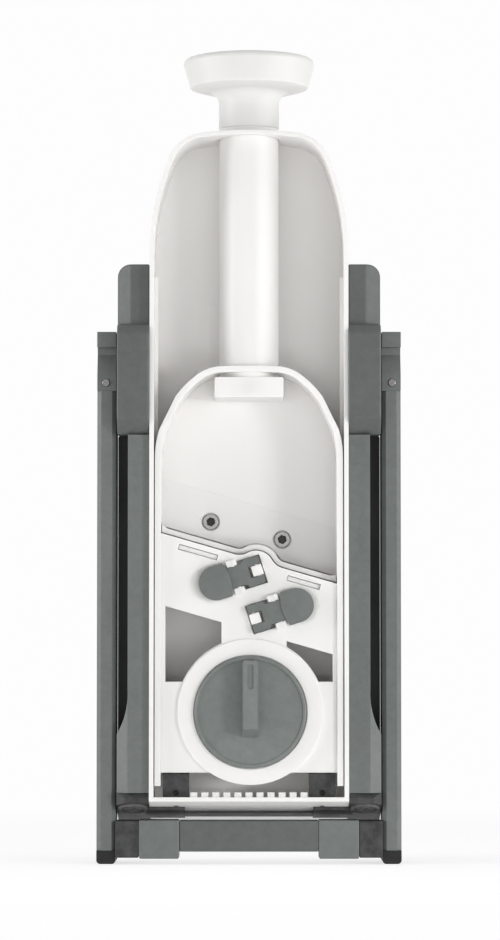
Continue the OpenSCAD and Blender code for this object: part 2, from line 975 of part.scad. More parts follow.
module leg_cap() {
  color(black) placed() {
    intersection() {
      slab(leg_in, leg_out) polygon([[leg_y0, cap_ease], [leg_y0 + cap_ease, 0], [leg_y1 - cap_ease, 0],
        [leg_y1, cap_ease], [leg_y1, leg_cap_h], [leg_y0, leg_cap_h]]);
      plate(0, leg_y1 + eps) rounded(leg_in, 0, leg_out, 2 * leg_cap_h, cap_round);
    }
    rise(leg_cap_h - eps, leg_cap_h + cap_plug) leg_section(cap_wall + run_fit);
  }
}

module left_leg_cap() {
  mirror([1, 0, 0]) leg_cap();
}

module right_leg_cap() {
  leg_cap();
}

module bar_section(grow, drop) {
  polygon([[bar_y0 - grow, bar_z0 - drop], [bar_y1 + grow, bar_z0 - drop],
    [bar_y1 + grow, bar_z1 + grow], [bar_y0 - grow, bar_z1 + grow]]);
}

module bar_core() {
  bar_section(-core_in, -core_in);
}

module crossbar() {
  color(grey) placed() {
    slab(-sleeve_x0, sleeve_x0) bar_section(0, 0);
    slab(-leg_in, leg_in) bar_core();
  }
}

module crossbar_sleeve() {
  color(grey) placed() difference() {
    slab(sleeve_x0, sleeve_x1) bar_section(sleeve_skin, sleeve_drop);
    slab(sleeve_x0 - eps, sleeve_x1 + eps) bar_core();
  }
}

module left_crossbar_sleeve() {
  mirror([1, 0, 0]) crossbar_sleeve();
}

module right_crossbar_sleeve() {
  crossbar_sleeve();
}

module grip_pad() {
  color(black) placed() difference() {
    slab(sleeve_x1, leg_in) bar_section(0, grip_drop);
    slab(sleeve_x1 - eps, leg_in + eps) bar_core();
  }
}

module left_grip_pad() {
  mirror([1, 0, 0]) grip_pad();
}

module right_grip_pad() {
  grip_pad();
}

// Plunger and carriage

module handle_knob() {
  rim_z = handle_top - handle_rim;
  base_z = rim_z - handle_band;
  under_z = base_z - handle_dish;
  color(milky) placed() translate([0, rod_y, 0]) rotate_extrude($fn = 96) difference() {
    union() {
      polygon([[0, neck_z], [neck_r, neck_z], [neck_r, under_z], [neck_r + handle_fillet, under_z],
        [handle_r - handle_taper, base_z], [handle_r, rim_z], [handle_r - handle_rim, handle_top],
        [0, handle_top]]);
      translate([handle_r - handle_rim, rim_z]) circle(r = handle_rim, $fn = 32);
      translate([neck_r, under_z]) fillet(handle_fillet);
    }
    polygon([[0, neck_z - eps], [spigot_r, neck_z - eps], [spigot_r, neck_z + spigot_h],
      [rod_in, neck_z + spigot_h], [rod_in, handle_top - handle_skin], [0, handle_top - handle_skin]]);
    translate([-reach, 0]) square([reach, 2 * reach]);
  }
}

module plunger_rod() {
  color(white) placed() translate([0, rod_y, 0]) difference() {
    union() {
      translate([0, 0, rod_foot]) cylinder(r = rod_r, h = neck_z - rod_foot);
      translate([0, 0, neck_z - eps]) cylinder(r = spigot_r, h = spigot_h + eps);
    }
    translate([0, 0, rod_foot - eps]) cylinder(r = rod_in, h = neck_z + spigot_h - rod_foot + 2 * eps);
    block([-slot_w / 2, 0, anchor_z - stroke - slide_gap],
      [slot_w / 2, rod_r + eps, anchor_z + anchor_t + slide_gap]);
  }
}

module rod_clip() {
  color(white) placed() difference() {
    plate(clip_front, floor_y) rounded(-clip_w / 2, clip_z0, clip_w / 2, clip_z1, clip_round);
    translate([0, rod_y, rod_foot]) cylinder(r = rod_r, h = carriage_top - rod_foot);
  }
}

module carriage_shell() {
  color(white) placed() difference() {
    union() {
      plate(carriage_front, blade_y) carriage_outline(0);
      both() block([carriage_in, carriage_front, carriage_foot - heel_drop],
        [carriage_half, heel_y, carriage_foot + carriage_wall]);
    }
    plate(carriage_front - eps, floor_y) carriage_outline(carriage_wall);
    plate(floor_y - eps, floor_y + floor_step) intersection() {
      carriage_outline(carriage_wall);
      band(-reach, blade_band);
    }
    plate(carriage_front - eps, blade_y + eps) intersection() {
      carriage_outline(carriage_wall);
      under_line(floor_edge);
    }
    plate(blade_y - blade_t, blade_y + eps) blade_face(-blade_lap, blade_band - blade_rest);
    translate([0, rod_y, rod_foot - eps]) cylinder(r = rod_r, h = carriage_top - rod_foot + 2 * eps);
    block([-carriage_in, 0, carriage_foot - eps], [carriage_in, plate_y1, carriage_foot + 2 * carriage_wall]);
    both() block([carriage_half - groove_h, rib_y - side_gap, 0], [half_w, rib_y + rib_t + side_gap, reach]);
    along_blade() for (p = screw_pts) {
      pin_y(p[0], p[1], 0, body_d, screw_shank + run_fit);
      pin_y(p[0], p[1], 0, floor_y + floor_step + sink_t, screw_r + sink_gap);
    }
  }
}

// Front view of the blade between two distances from the cutting line.
module blade_face(v0, v1) {
  intersection() {
    translate([-blade_x, 0]) square([2 * blade_x, reach]);
    band(v0, v1);
  }
}

module blade() {
  color(steel) placed() difference() {
    intersection() {
      plate(blade_y - blade_t, blade_y) blade_face(blade_edge - eps, blade_band - blade_rest);
      along_blade() slab(-body_w, body_w) polygon([[blade_y + blade_t, blade_edge - blade_bevel],
        [blade_y + blade_t, body_d], [blade_y - 2 * blade_t, body_d],
        [blade_y - 2 * blade_t, blade_edge + 2 * blade_bevel]]);
    }
    along_blade() for (p = screw_pts) {
      pin_y(p[0], p[1], 0, body_d, screw_shank);
    }
  }
}

module blade_screws() {
  seat = floor_y + floor_step + sink_t;
  color(steel) placed() along_blade() for (p = screw_pts) {
    difference() {
      union() {
        pin_y(p[0], p[1], seat - screw_t, seat, screw_r);
        pin_y(p[0], p[1], seat - eps, blade_y, screw_shank);
      }
      translate([p[0], seat - screw_t + socket_t, p[1]]) rotate([90, 0, 0])
        cylinder(r = socket_r, h = socket_t + eps, $fn = 6);
    }
  }
}

// Front view of the adjuster plate with its windows.
module adjuster_face() {
  difference() {
    union() {
      intersection() {
        translate([-carriage_in, carriage_foot]) square([2 * carriage_in, reach]);
        under_line(-lip_t - lip_gap);
      }
      translate([knob_x, knob_z]) circle(r = ring_r);
    }
    difference() {
      intersection() {
        union() {
          translate([-window_x, knob_z + window_foot]) square([window_x + window_in[0], reach]);
          translate([window_in[1], knob_z + window_foot]) square([window_x - window_in[1], reach]);
        }
        band(-reach, -window_drop);
      }
      translate([knob_x, knob_z]) circle(r = ring_r + window_ring);
    }
  }
}

// Opening in the plate under the waist and the fork of a lever.
module lever_opening() {
  block([-axle_r, -body_d, -waist_w / 2 - side_gap],
    [fork_open_u + eps, body_d / 2, waist_w / 2 + side_gap]);
  block([fork_open_u, -body_d, -fork_w / 2 - fork_room],
    [fork_end + fork_open_end, body_d / 2, fork_w / 2 + fork_room]);
}

module lever_seat() {
  translate([-tab_u - eps, plate_y0 - lever_y + seat_sink - tab_dome, 0]) sphere(r = tab_dome);
}

module lever_ears() {
  for (v = [-1, 1]) {
    mid = v * (waist_w / 2 + side_gap + ear_t / 2);
    block([-ear_u / 2, -ear_out, mid - ear_t / 2], [ear_u / 2, plate_y0 - lever_y + eps, mid + ear_t / 2]);
  }
}

module lever_axle(r) {
  translate([0, 0, -axle_l / 2]) cylinder(r = r, h = axle_l, $fn = 32);
}

// Box around a tab of the wide comb, grown along it and across it.
module tab_box(i, y0, y1, grow_u, grow_v) {
  block([tab_x[i] - tab_len[i] / 2 - grow_u, y0, wide_off - tab_t / 2 - grow_v],
    [tab_x[i] + tab_len[i] / 2 + grow_u, y1, wide_off + tab_t / 2 + grow_v]);
}

module adjuster_plate() {
  color(white) placed() difference() {
    union() {
      difference() {
        plate(plate_y0, plate_y1) adjuster_face();
        at_levers() lever_seat();
        at_levers() lever_opening();
      }
      plate(ring_y, plate_y0 + eps) translate([knob_x, knob_z]) difference() {
        circle(r = ring_r);
        circle(r = knob_r + knob_gap);
      }
      at_levers() lever_ears();
      along_blade() for (i = [0, 1]) {
        tab_box(i, plate_y0 + eps, comb_bar_y0 - guide_gap, tab_guide, tab_guide);
      }
      pin_y(knob_x, knob_z, plate_y0 + eps, shaft_y - slide_gap, shaft_r + shaft_wall);
    }
    along_blade() for (i = [0, 1]) {
      tab_box(i, -body_d, body_d, tab_gap, tab_gap);
    }
    pin_y(knob_x, knob_z, 0, body_d, shaft_r + run_fit);
    at_levers() lever_axle(axle_r);
  }
}

module lever_axles() {
  color(steel) placed() at_levers() lever_axle(axle_r);
}

module guide_posts() {
  color(steel) placed() {
    both() pin_y(post_x, post_z, plate_y1, post_end, post_r);
    along_blade() both() pin_y(comb_post_x, fine_off, plate_y1, post_end, post_r);
  }
}

function coil_point(i) =
  let (t = i / (coil_n * coil_rings), a = 360 * i / coil_rings)
  [coil_r * cos(a), coil_r * sin(a), coil_z0 + t * (coil_z1 - coil_z0)];

module return_spring() {
  n = coil_n * coil_rings;
  pts = [for (i = [0 : n]) for (k = [0 : coil_sides - 1])
    let (a = 360 * i / coil_rings, b = 360 * k / coil_sides, p = coil_point(i))
    [p[0] + wire_r * cos(b) * cos(a), p[1] + wire_r * cos(b) * sin(a), p[2] + wire_r * sin(b)]];
  sides = [for (i = [0 : n - 1]) for (k = [0 : coil_sides - 1])
    let (k2 = (k + 1) % coil_sides, c = i * coil_sides, d = c + coil_sides)
    [c + k, c + k2, d + k2, d + k]];
  first = [for (k = [0 : coil_sides - 1]) coil_sides - 1 - k];
  last = [for (k = [0 : coil_sides - 1]) n * coil_sides + k];
  color(steel) placed() translate([0, rod_y, 0])
    polyhedron(points = pts, faces = concat([first], sides, [last]));
}

// Thickness adjuster

module thickness_knob() {
  rim_in = knob_r - knob_ease - knob_rim;
  back = plate_y0 - side_gap;
  color(grey) placed() difference() {
    union() {
      translate([knob_x, 0, knob_z]) rotate([-90, 0, 0]) rotate_extrude()
        polygon([[0, knob_front + knob_dish], [rim_in - knob_dish, knob_front + knob_dish],
          [rim_in, knob_front], [knob_r - knob_ease, knob_front], [knob_r, knob_front + knob_ease],
          [knob_r, back], [0, back]]);
      pin_y(knob_x, knob_z, 0, shaft_y, shaft_r);
      translate([knob_x, 0, knob_z]) intersection() {
        slab(-fin_w, fin_w) polygon([[0, -fin_foot], [0, fin_head], [-fin_reach, fin_head - fin_rake[1]],
          [-fin_reach, fin_rake[0] - fin_foot]]);
        rise(-knob_r, knob_r) polygon([[-fin_w / 2, eps], [fin_w / 2 - fin_tip_w, -2 * fin_reach],
          [fin_tip_w - fin_w / 2, -2 * fin_reach], [fin_w / 2, eps]]);
        plate(-fin_reach - eps, eps) rounded(-fin_w / 2 - fin_spare, -knob_r, fin_w / 2 + fin_spare,
          fin_head + fin_spare, fin_round);
      }
    }
    plate(-fin_reach - eps, mark_t - fin_reach) translate([knob_x, knob_z])
      rounded(-mark_w / 2, mark_z[0], mark_w / 2, mark_z[1], mark_round);
    pin_y(knob_x, knob_z, shaft_y - core_seat, shaft_y + eps, core_r);
  }
}

module lead_screw() {
  color(steel) placed() pin_y(knob_x, knob_z, shaft_y - core_seat, core_y, core_r);
}

// Front view of the lip along the cutting line, with ends that curl up at both walls.
module lip_face() {
  difference() {
    intersection() {
      runway_span();
      union() {
        under_line(0);
        blade_view() for (s = [0, 1]) {
          mirror([s, 0]) translate([-runway_half / cos(blade_slope) - curl_out, 0])
            mirror([0, 1]) fillet(curl_r);
        }
      }
    }
    under_line(-lip_t);
  }
}

module runway_plate() {
  color(white) placed() difference() {
    union() {
      plate(runway_y, blade_y) intersection() {
        runway_span();
        band(-reach, 0);
      }
      plate(flange_y, floor_y - eps) lip_face();
      plate(floor_y - 2 * eps, blade_y) intersection() {
        runway_span();
        band(-lip_t, 0);
      }
      pin_y(knob_x, knob_z, boss_y, runway_y + eps, boss_r);
      both() pin_y(post_x, post_z, boss_y, runway_y + eps, post_boss_r);
    }
    pin_y(knob_x, knob_z, boss_y - eps, blade_y - runway_skin, core_r + run_fit);
    both() pin_y(post_x, post_z, boss_y - eps, blade_y - runway_skin, post_r + run_fit);
    along_blade() {
      tooth_row(wide_off, wide_teeth, wide_pitch, runway_y - eps, blade_y + eps, tooth_gap);
      tooth_row(fine_off, fine_teeth, fine_pitch, runway_y - eps, blade_y + eps, tooth_gap);
    }
  }
}

module runway_span() {
  translate([-runway_half, runway_foot]) square([2 * runway_half, reach]);
}

// Comb levers and combs

module tooth_row(off, n, pitch, y0, y1, grow) {
  side = tooth_t / 2 + grow;
  tall = comb_bar_w / 2 + grow;
  for (i = [0 : n - 1]) {
    x = (i - (n - 1) / 2) * pitch;
    block([x - side, y0, off - tall], [x + side, y1, off + tall]);
  }
}

// Front view of the thumb tab: round at its end, bulging towards the waist.
module tab_face() {
  intersection() {
    union() {
      translate([-tab_u, 0]) circle(r = tab_w / 2);
      translate([-tab_u, -tab_w / 2]) square([tab_u, tab_w]);
    }
    translate([-tab_neck - tab_turn, 0]) circle(r = tab_turn);
  }
}

module comb_lever() {
  pin_side = peg_pin_r + pin_room;
  pin_half = peg_pin_l / 2 + pin_room;
  difference() {
    union() {
      intersection() {
        plate(-lever_t - eps, lever_t / 2) tab_face();
        translate([-tab_u, tab_dome - lever_t, 0]) sphere(r = tab_dome, $fn = 96);
      }
      plate(-lever_t / 2, lever_t / 2) {
        translate([-waist_u, -waist_w / 2]) square([2 * waist_u, waist_w]);
        rounded(fork_u, -fork_w / 2, fork_end, fork_w / 2, fork_round);
      }
    }
    block([slot_u, -body_d, -fork_slot / 2], [fork_end + eps, body_d, fork_slot / 2]);
    block([pin_slot_u, -pin_side, -pin_half], [fork_end + eps, pin_side, pin_half]);
    lever_axle(axle_r + run_fit);
  }
}

module wide_lever() {
  color(grey) placed() lever_frame(wide_waist, 0) comb_lever();
}

module fine_lever() {
  color(grey) placed() lever_frame(fine_waist, 180) comb_lever();
}

// Square peg with its cross pin, standing on a comb bar.
module comb_peg() {
  block([lever_arm - peg_w / 2, -peg_out, -peg_w / 2],
    [lever_arm + peg_w / 2, comb_bar_y0 - lever_y + eps, peg_w / 2]);
  translate([lever_arm, 0, -peg_pin_l / 2]) cylinder(r = peg_pin_r, h = peg_pin_l, $fn = 24);
}

module wide_comb_carrier() {
  color(white) placed() {
    along_blade() {
      block([-comb_half, comb_bar_y0, wide_off - comb_bar_w / 2],
        [comb_half, comb_bar_y1, wide_off + comb_bar_w / 2]);
      for (i = [0, 1]) {
        tab_box(i, plate_y0 + tab_sink, comb_bar_y0 + eps, 0, 0);
      }
    }
    lever_frame(wide_waist, 0) comb_peg();
  }
}

module fine_comb_carrier() {
  peg_x = fine_waist[0] - lever_arm * cos(lever_tilt);
  peg_z = fine_waist[1] - lever_arm * sin(lever_tilt);
  bar_z = blade_z - peg_x * tan(blade_slope) + fine_off / cos(blade_slope);
  color(white) placed() {
    plate(comb_bar_y0, comb_bar_y1) difference() {
      union() {
        blade_view() {
          translate([-comb_half, fine_off - comb_bar_w / 2]) square([2 * comb_half, comb_bar_w]);
          for (s = [-1, 1]) {
            translate([s * comb_post_x, fine_off]) circle(r = comb_eye_r);
          }
        }
        translate([peg_x - comb_stem / 2, peg_z - comb_stem / 2])
          square([comb_stem, bar_z - peg_z + comb_stem / 2]);
      }
      blade_view() for (s = [-1, 1]) {
        translate([s * comb_post_x, fine_off]) circle(r = post_r + run_fit);
      }
    }
    lever_frame(fine_waist, 180) comb_peg();
  }
}

module comb_teeth(off, n, pitch) {
  low = off - comb_bar_w / 2;
  high = off + comb_bar_w / 2;
  color(steel) placed() along_blade() intersection() {
    tooth_row(off, n, pitch, comb_bar_y1, tooth_y, 0);
    slab(-body_w, body_w) polygon([[0, low], [tooth_y, low], [tooth_y - tooth_rake, high], [0, high]]);
  }
}

module wide_comb_teeth() {
  comb_teeth(wide_off, wide_teeth, wide_pitch);
}

module fine_comb_teeth() {
  comb_teeth(fine_off, fine_teeth, fine_pitch);
}

// Food pusher

module food_pusher() {
  hollow = -pusher_gap - pusher_wall;
  color(white) placed() {
    difference() {
      union() {
        plate(pusher_face, pusher_flange_y + eps) chute_bore(-pusher_gap);
        plate(pusher_flange_y, pusher_flange_y + pusher_flange_t) chute_bore(pusher_lap);
      }
      plate(pusher_face + pusher_wall, pusher_end) chute_bore(hollow);
    }
    intersection() {
      plate(pusher_face, pusher_end + eps) chute_bore(hollow + pusher_wall / 2);
      slab(-chute_w, chute_w) translate([pusher_end - grip_d, chute_z])
        rounded(0, -grip_h / 2, grip_d, grip_h / 2, grip_round);
    }
    for (x = spike_x) {
      for (z = spike_z) {
        translate([x, pusher_face + spike_seat, chute_z + z]) rotate([90, 0, 0])
          cylinder(r1 = spike_r, r2 = spike_tip, h = spike_l);
      }
    }
  }
}

body_shell();
feed_chute();
left_side_rail();
right_side_rail();
left_hinge_bracket();
right_hinge_bracket();
left_corner_foot();
right_corner_foot();
foot_pads();
foot_screws();
base_strip();
left_bumper();
right_bumper();
bumper_screws();
hinge_pins();
spring_anchor();
left_leg_hinge_end();
right_leg_hinge_end();
left_leg_tube();
right_leg_tube();
leg_buttons();
crossbar();
left_crossbar_sleeve();
right_crossbar_sleeve();
left_grip_pad();
right_grip_pad();
left_leg_cap();
right_leg_cap();
handle_knob();
plunger_rod();
rod_clip();
carriage_shell();
adjuster_plate();
blade();
blade_screws();
lever_axles();
guide_posts();
return_spring();
thickness_knob();
lead_screw();
runway_plate();
wide_lever();
fine_lever();
wide_comb_carrier();
wide_comb_teeth();
fine_comb_carrier();
fine_comb_teeth();
food_pusher();
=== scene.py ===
"""Looks of the upright mandoline slicer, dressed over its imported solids.

Metres, +Z up. The slice side, which the camera sees, faces -Y.
"""
import json
import math

import bmesh
import bpy
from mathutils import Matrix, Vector


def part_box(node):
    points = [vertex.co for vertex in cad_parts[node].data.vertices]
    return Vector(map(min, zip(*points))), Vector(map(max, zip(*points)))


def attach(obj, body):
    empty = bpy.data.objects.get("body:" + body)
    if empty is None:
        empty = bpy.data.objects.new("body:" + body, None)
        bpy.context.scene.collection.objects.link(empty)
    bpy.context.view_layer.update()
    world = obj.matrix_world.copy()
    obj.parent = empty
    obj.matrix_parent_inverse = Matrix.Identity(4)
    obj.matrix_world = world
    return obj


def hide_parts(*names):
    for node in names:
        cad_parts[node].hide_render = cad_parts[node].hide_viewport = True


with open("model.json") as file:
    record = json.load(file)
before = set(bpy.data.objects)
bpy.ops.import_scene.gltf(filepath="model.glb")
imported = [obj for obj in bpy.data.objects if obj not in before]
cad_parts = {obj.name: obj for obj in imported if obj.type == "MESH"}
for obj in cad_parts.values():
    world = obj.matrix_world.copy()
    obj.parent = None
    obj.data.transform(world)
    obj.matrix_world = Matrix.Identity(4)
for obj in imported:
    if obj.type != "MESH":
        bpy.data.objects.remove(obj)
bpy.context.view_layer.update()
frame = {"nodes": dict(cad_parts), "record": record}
nodes = frame["nodes"]
scene = bpy.context.scene
scene.view_settings.view_transform = "Standard"
body_of_node = {n: b for b, ns in frame["record"]["behaviour"]["bodies"].items() for n in ns}
slot_of_node = {s["node"]: s["material_slot"] for s in frame["record"]["subparts"]}


def both(part):
    """The names of a part's left and right nodes."""
    return f"left_{part}", f"right_{part}"


def aimed(name, data, place, target):
    """Adds a camera or a lamp that looks from its place to a target."""
    made = bpy.data.objects.new(name, data)
    made.location = place
    made.rotation_euler = (Vector(target) - Vector(place)).to_track_quat("-Z", "Y").to_euler()
    scene.collection.objects.link(made)
    return made


# Camera: low and far off, tipped up a little, as in the photograph.
rim_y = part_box("body_shell")[0].y
view_distance = 1.8
view_x = 0.0005
eye_z = 0.100
aim_z = 0.1934
picture_height = 0.462  # that the picture covers at the body's rim
sensor_width = 36.0  # millimetres, as the lens is
eye = Vector((view_x, rim_y - view_distance, eye_z))
aim = Vector((view_x, rim_y, aim_z))
camera_data = bpy.data.cameras.new("camera")
camera_data.sensor_width = sensor_width
camera_data.lens = sensor_width * (aim - eye).length / picture_height
camera_data.clip_start = 0.05
camera_data.clip_end = 50.0
scene.camera = aimed("camera", camera_data, eye, aim)


# Materials

# Most of a noise texture's values lie between these two.
noise_low = 0.3
noise_high = 0.7


class Shader:
    """A Principled material and the small set of nodes that its detail is made of.

    A noise scale counts features to the metre, and a bump distance is in metres.
    """

    def __init__(self, name, **values):
        self.material = bpy.data.materials.new(name)
        self.material.use_nodes = True
        self.tree = self.material.node_tree
        self.bsdf = self.tree.nodes["Principled BSDF"]
        for socket, value in values.items():
            self.bsdf.inputs[socket.replace("_", " ")].default_value = value
        self.place = self.node("ShaderNodeTexCoord").outputs["Object"]

    def node(self, kind, **settings):
        made = self.tree.nodes.new(kind)
        for key, value in settings.items():
            setattr(made, key, value)
        return made

    def link(self, source, target):
        self.tree.links.new(source, target)

    def stretched(self, scale):
        """Coordinates in which a noise is drawn out along the axes of small scale."""
        mapping = self.node("ShaderNodeMapping")
        mapping.inputs["Scale"].default_value = scale
        self.link(self.place, mapping.inputs["Vector"])
        return mapping.outputs["Vector"]

    def noise(self, scale, detail=2.0, rough=0.5, at=None):
        made = self.node("ShaderNodeTexNoise")
        made.inputs["Scale"].default_value = scale
        made.inputs["Detail"].default_value = detail
        made.inputs["Roughness"].default_value = rough
        self.link(at or self.place, made.inputs["Vector"])
        return made.outputs["Fac"]

    def ramp(self, fac, low, high, start=noise_low, end=noise_high):
        """A value that goes from low to high as fac goes from start to end."""
        made = self.node("ShaderNodeMapRange")
        made.inputs["From Min"].default_value = start
        made.inputs["From Max"].default_value = end
        made.inputs["To Min"].default_value = low
        made.inputs["To Max"].default_value = high
        self.link(fac, made.inputs["Value"])
        return made.outputs["Result"]

    def colours(self, fac, low, high, start=noise_low, end=noise_high):
        """A colour that goes from low to high as fac goes from start to end."""
        made = self.node("ShaderNodeValToRGB")
        made.color_ramp.elements[0].position = start
        made.color_ramp.elements[0].color = (*low, 1.0)
        made.color_ramp.elements[1].position = end
        made.color_ramp.elements[1].color = (*high, 1.0)
        self.link(fac, made.inputs["Fac"])
        return made.outputs["Color"]

    def bump(self, height, distance, strength, below=None):
        made = self.node("ShaderNodeBump")
        made.inputs["Distance"].default_value = distance
        made.inputs["Strength"].default_value = strength
        self.link(height, made.inputs["Height"])
        if below:
            self.link(below, made.inputs["Normal"])
        return made.outputs["Normal"]

    def feed(self, **sockets):
        """Links the shader's own sockets, named with _ for a space."""
        for socket, source in sockets.items():
            self.link(source, self.bsdf.inputs[socket.replace("_", " ")])


def tinted(level, red, green, blue):
    """A colour of one level in a given balance."""
    return level * red, level * green, level * blue


def white_plastic():
    """Moulded ABS: satin, with a faint waviness from the mould and fine handling marks."""
    s = Shader("white_plastic", IOR=1.5, Specular_IOR_Level=0.45, Subsurface_Weight=0.35,
               Subsurface_Scale=0.004, Subsurface_Radius=(1.0, 0.94, 0.88))
    clouds = s.noise(14.0, detail=3.0)
    marks = s.noise(900.0, detail=3.0, rough=0.6, at=s.stretched((1.0, 1.0, 0.12)))
    waves = s.bump(s.noise(260.0, detail=1.0), distance=0.0004, strength=0.10)
    s.feed(Base_Color=s.colours(clouds, (0.860, 0.848, 0.832), (0.884, 0.874, 0.860)),
           Roughness=s.ramp(marks, 0.34, 0.46),
           Normal=s.bump(marks, distance=0.00006, strength=0.12, below=waves))
    return s.material


def milky_plastic(name, low, high, depth):
    """Unpigmented polypropylene: light goes a little way in, so the thin flare glows."""
    s = Shader(name, IOR=1.49, Specular_IOR_Level=0.4, Subsurface_Weight=0.3,
               Subsurface_Scale=depth, Subsurface_Radius=(1.0, 1.0, 1.0))
    clouds = s.noise(22.0)
    grain = s.noise(1500.0)
    s.feed(Base_Color=s.colours(clouds, tinted(low, 1.0, 0.992, 0.97), tinted(high, 1.0, 0.993, 0.975)),
           Roughness=s.ramp(grain, 0.36, 0.48),
           Normal=s.bump(grain, distance=0.00005, strength=0.15))
    return s.material


def grey_plastic(name, level):
    """Glass-filled nylon with a fine spark-eroded grain and cloudy flow marks."""
    balance = (0.145, 0.158, 0.152)
    fine_share = 0.6
    s = Shader(name, IOR=1.5, Specular_IOR_Level=0.4)
    clouds = s.node("ShaderNodeMath", operation="MULTIPLY_ADD")
    s.link(s.noise(210.0, detail=6.0, rough=0.75), clouds.inputs[0])
    clouds.inputs[1].default_value = fine_share
    s.link(s.ramp(s.noise(18.0, detail=4.0), 0.0, 1.0 - fine_share, start=0.0, end=1.0), clouds.inputs[2])
    grain = s.noise(2600.0, detail=3.0, rough=0.65)
    s.feed(Base_Color=s.colours(clouds.outputs[0], tinted(0.86 * level, *balance),
                                tinted(1.12 * level, *balance), start=0.36, end=0.64),
           Roughness=s.ramp(grain, 0.36, 0.52),
           Normal=s.bump(grain, distance=0.00012, strength=0.35))
    return s.material


def painted_recess_shade():
    """Painted shade: a dark grey put on the bottom of the rails' long recess, where shade falls; its surface
    is dull.
    """
    s = Shader("painted_recess_shade", IOR=1.5, Specular_IOR_Level=0.1, Roughness=0.8)
    clouds = s.noise(40.0, detail=4.0)
    s.feed(Base_Color=s.colours(clouds, (0.068, 0.070, 0.070), (0.092, 0.095, 0.094)))
    return s.material


def black_rubber(name, low, high):
    """Soft black elastomer with a dry surface."""
    s = Shader(name, IOR=1.48, Specular_IOR_Level=0.35)
    dust = s.noise(140.0, detail=6.0, rough=0.7)
    grain = s.noise(2200.0)
    s.feed(Base_Color=s.colours(dust, tinted(low, 1.0, 1.0, 1.03), tinted(high, 1.0, 1.0, 1.02),
                                start=0.35, end=0.8),
           Roughness=s.ramp(dust, 0.42, 0.68),
           Normal=s.bump(grain, distance=0.0001, strength=0.3))
    return s.material


def pad_rubber():
    """The softer, moulded compound of the round soles, paler where it has been scuffed."""
    s = Shader("pad_rubber", IOR=1.48, Specular_IOR_Level=0.4)
    scuff = s.noise(420.0, detail=4.0, rough=0.7)
    s.feed(Base_Color=s.colours(scuff, (0.065, 0.061, 0.062), (0.150, 0.144, 0.144), end=0.75),
           Roughness=s.ramp(scuff, 0.45, 0.62),
           Normal=s.bump(scuff, distance=0.00025, strength=0.5))
    return s.material


def screw_steel(name, low, high):
    """Turned screw steel with a satin skin."""
    s = Shader(name, Metallic=1.0)
    skin = s.noise(1500.0, detail=3.0, rough=0.6)
    s.feed(Base_Color=s.colours(skin, tinted(low, 1.0, 0.975, 0.95), tinted(high, 1.0, 0.98, 0.95)),
           Roughness=s.ramp(skin, 0.24, 0.38),
           Normal=s.bump(skin, distance=0.00003, strength=0.2))
    return s.material


def steel():
    """Stainless steel, brushed from side to side."""
    s = Shader("steel", Metallic=1.0)
    lines = s.noise(1800.0, detail=4.0, rough=0.6, at=s.stretched((0.04, 1.0, 1.0)))
    s.feed(Base_Color=s.colours(lines, (0.50, 0.50, 0.51), (0.64, 0.64, 0.65)),
           Roughness=s.ramp(lines, 0.22, 0.40),
           Normal=s.bump(lines, distance=0.00003, strength=0.2))
    return s.material


# The finish of each material slot, and of the nodes that differ from their slot.
finish = {
    "white_plastic": white_plastic(),
    "milky_plastic": milky_plastic("milky_plastic", low=0.75, high=0.78, depth=0.006),
    "grey_plastic": grey_plastic("grey_plastic", level=1.0),
    "black_rubber": black_rubber("black_rubber", low=0.022, high=0.092),
    "steel": steel(),
}
own_finish = {
    **dict.fromkeys(("blade_screws", "foot_screws", "bumper_screws"),
                    screw_steel("screw_steel", low=0.36, high=0.50)),
    "leg_buttons": screw_steel("button_steel", low=0.18, high=0.30),
    "foot_pads": pad_rubber(),
    "plunger_rod": milky_plastic("rod_plastic", low=0.84, high=0.865, depth=0.002),
    "thickness_knob": grey_plastic("knob_grey", level=1.26),
    "crossbar": grey_plastic("crossbar_grey", level=0.70),
    **dict.fromkeys(both("hinge_bracket"), grey_plastic("bracket_grey", level=0.70)),
    **dict.fromkeys(both("leg_cap"), black_rubber("cap_rubber", low=0.008, high=0.020)),
}


def finish_of(node):
    return own_finish.get(node, finish[slot_of_node[node]])


for name, node in nodes.items():
    node.data.materials.clear()
    node.data.materials.append(finish_of(name))

# Painted shade: a second, darker finish on the faces of a node where shade falls
front_normal_y = -0.9  # a face looks to the front where its normal's Y is below this
recess_y = rim_y + 0.02  # behind a rail's front, before the bottom of its recess
socket_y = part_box("blade_screws")[0].y + 0.0004  # just behind the front of the screws' heads


def in_recess(face):
    """The bottom of a rail's long recess, which gets painted shade."""
    return face.normal.y < front_normal_y and face.center.y > recess_y


def off_head(face):
    """All of a blade screw but the flat front of its head: the socket and the flanks, which get painted
    shade.
    """
    return face.normal.y > front_normal_y or face.center.y > socket_y


painted_shade_faces = {
    # Painted shade on the bottom of each rail's recess.
    **dict.fromkeys(both("side_rail"), (painted_recess_shade(), in_recess)),
    # Painted shade: a near-black steel on the screws' sockets and flanks, for the shade in the socket and
    # round the head.
    "blade_screws": (screw_steel("socket_painted_shade", low=0.035, high=0.07), off_head),
}


# Pieces

# Nodes with flat faces that run round an opening: these are cut into convex ones, so that they fill cleanly.
hollow_faced = {
    "body_shell", "right_side_rail", *both("hinge_bracket"), "crossbar", *both("crossbar_sleeve"),
    *both("grip_pad"), "wide_comb_carrier", "fine_comb_carrier",
}

weld_distance = 2e-6
flat_angle = math.radians(0.8)
sharp_angle = math.radians(32.0)
edge_segments = 3


